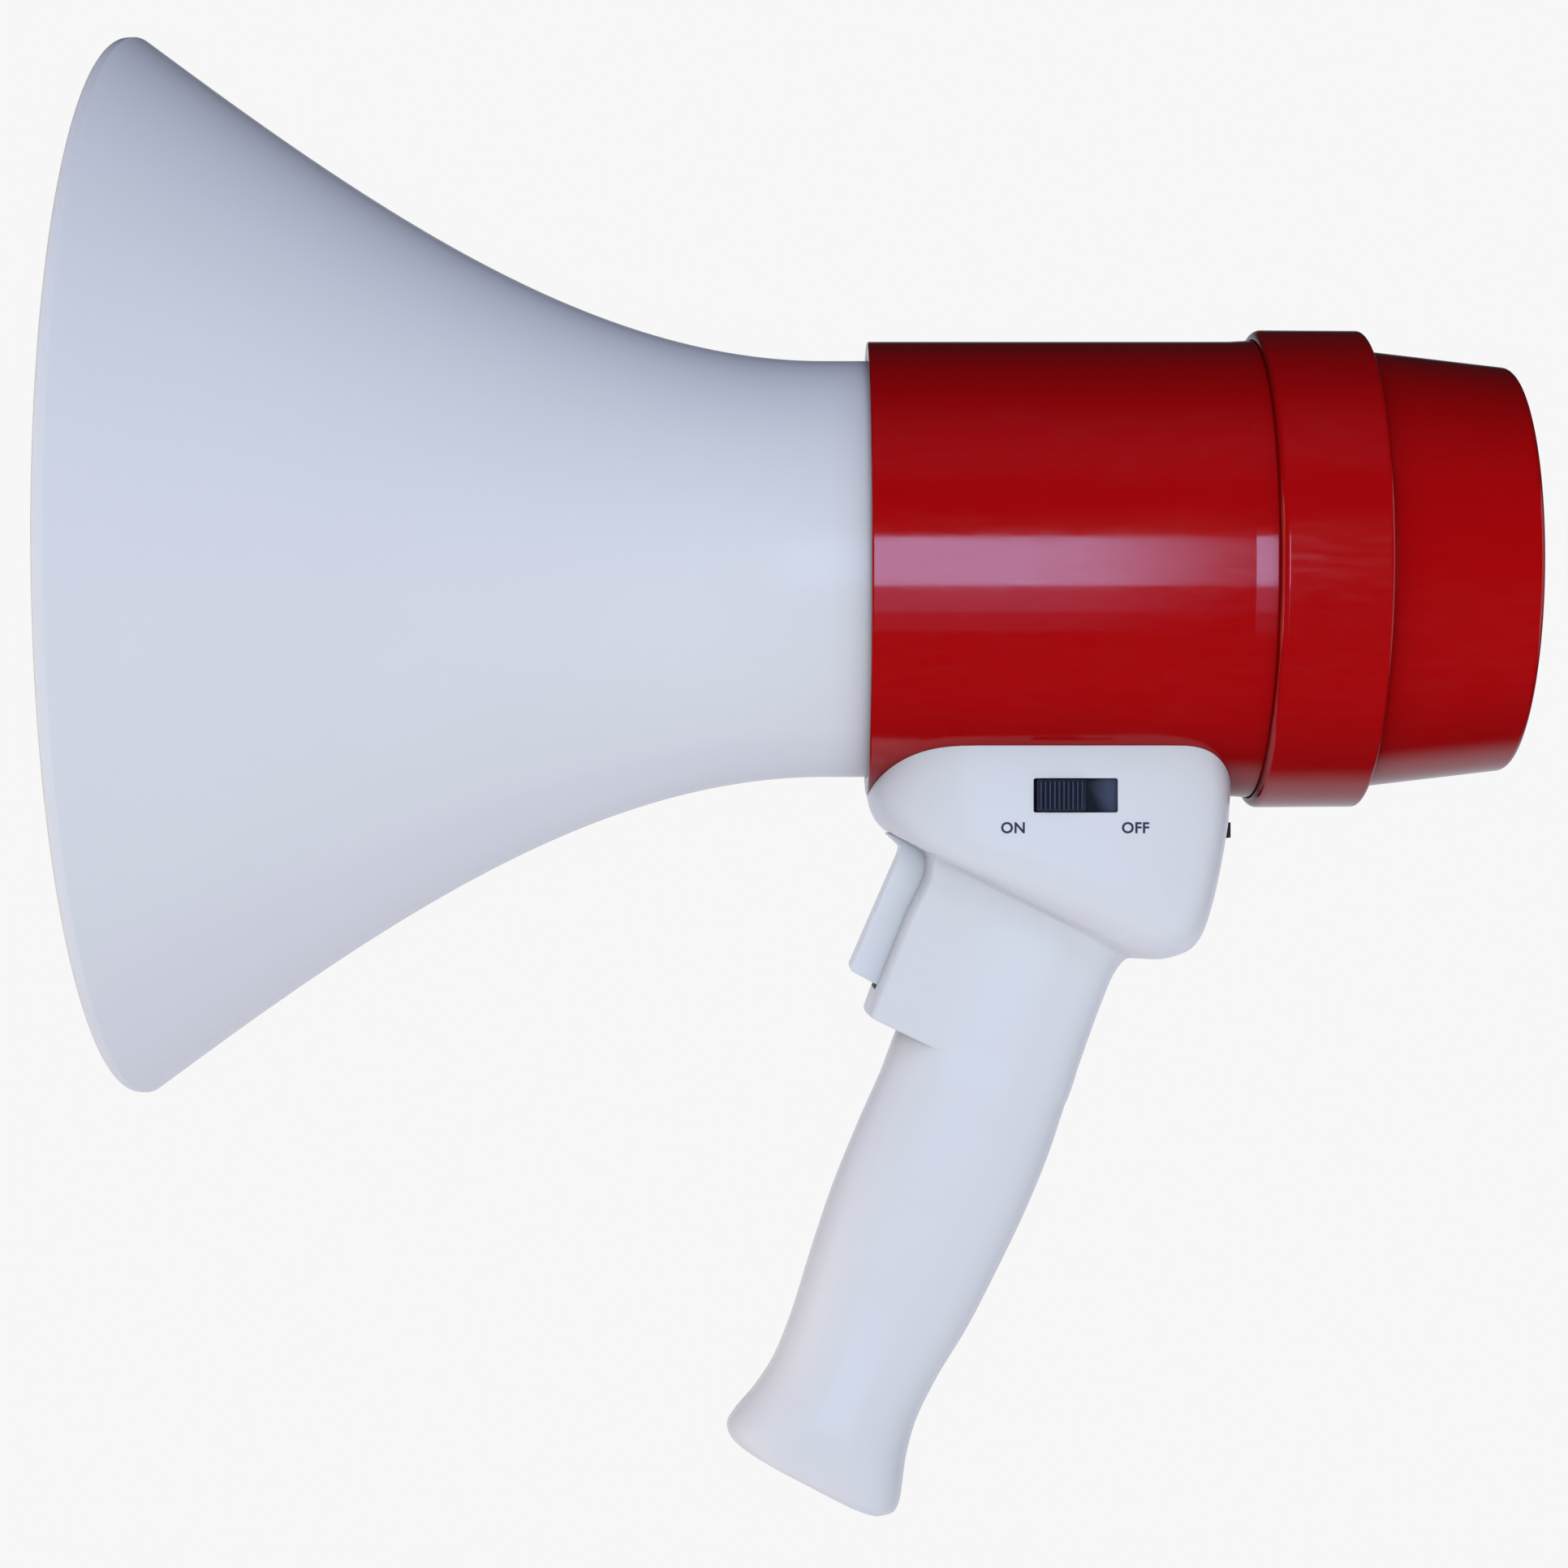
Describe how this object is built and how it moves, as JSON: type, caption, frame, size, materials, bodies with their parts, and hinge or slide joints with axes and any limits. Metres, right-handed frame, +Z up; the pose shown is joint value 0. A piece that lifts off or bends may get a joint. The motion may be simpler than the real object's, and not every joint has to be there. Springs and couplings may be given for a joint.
{
  "type": "handheld megaphone",
  "caption": "Handheld megaphone with a flared re-entrant horn, a round battery body, a mouthpiece cover with a locking ring, and a pistol grip with a talk trigger.",
  "frame": {"origin": "middle of the hand grip, on the megaphone's plane of symmetry", "axes": "+X along the horn axis towards the mouthpiece, -X out of the bell, +Z up from the grip to the horn, -Y towards the side with the power switch"},
  "size_m": [0.3, 0.23, 0.3232],
  "materials": {
    "white_plastic": "satin moulded ABS",
    "red_plastic": "gloss moulded ABS",
    "black_plastic": "fine matt texture",
    "navy_plastic": "matt",
    "rubber": "matt",
    "foam": "open-cell foam",
    "circuit_board": "solder mask",
    "film": "formed polyimide film",
    "ferrite": "sintered, matt",
    "steel": "zinc plated",
    "aluminium": "as cast",
    "cell_wrap": "printed sleeve, plain"
  },
  "bodies": {
    "body": {"bell": "white_plastic", "reflector": "white_plastic", "throat_horn": "white_plastic", "baffle_screw_1": "steel", "baffle_screw_2": "steel", "baffle_screw_3": "steel", "driver_screw_1": "steel", "driver_screw_2": "steel", "driver_screw_3": "steel", "driver_frame": "aluminium", "diaphragm": "film", "top_plate": "steel", "magnet": "ferrite", "back_plate": "steel", "body_shell": "red_plastic", "seal_ring": "rubber", "battery_holder": "black_plastic", "battery_cell_1": "cell_wrap", "battery_cell_2": "cell_wrap", "battery_cell_3": "cell_wrap", "battery_cell_4": "cell_wrap", "battery_cell_5": "cell_wrap", "battery_cell_6": "cell_wrap", "battery_spring_1": "steel", "battery_spring_2": "steel", "battery_spring_3": "steel", "battery_spring_4": "steel", "battery_spring_5": "steel", "battery_spring_6": "steel", "grip_left": "white_plastic", "grip_right": "white_plastic", "grip_screw_1": "steel", "grip_screw_2": "steel", "grip_screw_3": "steel", "grip_screw_4": "steel", "grip_screw_5": "steel", "saddle_screw_1": "steel", "saddle_screw_2": "steel", "trigger_pin": "steel", "trigger_spring": "steel", "ptt_switch_body": "black_plastic", "power_switch_body": "navy_plastic", "volume_pot": "steel", "amplifier_board": "circuit_board", "heat_sink": "aluminium", "capacitor_1": "black_plastic", "capacitor_2": "black_plastic"},
    "trigger": {"trigger": "white_plastic"},
    "plunger": {"ptt_plunger": "navy_plastic"},
    "power_knob": {"power_switch_knob": "black_plastic"},
    "wheel": {"volume_wheel": "black_plastic"},
    "rear_cover": {"rear_cap": "red_plastic", "mic_grille": "black_plastic", "mic_foam": "foam", "mic_capsule": "steel", "mic_board": "circuit_board"},
    "ring": {"locking_ring": "red_plastic"}
  },
  "joints": [
    {"name": "trigger_press", "type": "hinge", "parent": "body", "child": "trigger", "pos_m": [0.0045, 0, 0.0785], "axis": [0, -1, 0], "range_deg": [0, 7], "stiffness_Nm_per_rad": 0.3, "springref_deg": -17.19, "deforming": ["trigger_spring"]},
    {"name": "ptt_plunger_press", "type": "slide", "parent": "body", "child": "plunger", "axis": [1, 0, 0], "range_m": [0, 0.0022]},
    {"name": "power_switch_slide", "type": "slide", "parent": "body", "child": "power_knob", "axis": [1, 0, 0], "range_m": [0, 0.0065]},
    {"name": "volume_turn", "type": "hinge", "parent": "body", "child": "wheel", "pos_m": [0.06, 0, 0.0875], "axis": [0, 0, 1], "range_deg": [0, 270]},
    {"name": "rear_cover_pull", "type": "slide", "parent": "body", "child": "rear_cover", "axis": [1, 0, 0], "range_m": [0, 0.07]},
    {"name": "locking_ring_turn", "type": "hinge", "parent": "rear_cover", "child": "ring", "pos_m": [0.0845, 0, 0.145], "axis": [1, 0, 0], "range_deg": [0, 45]}
  ],
  "couplings": [
    {"joint": "ptt_plunger_press", "follows": "trigger_press", "m_per_rad": 0.0176}
  ]
}
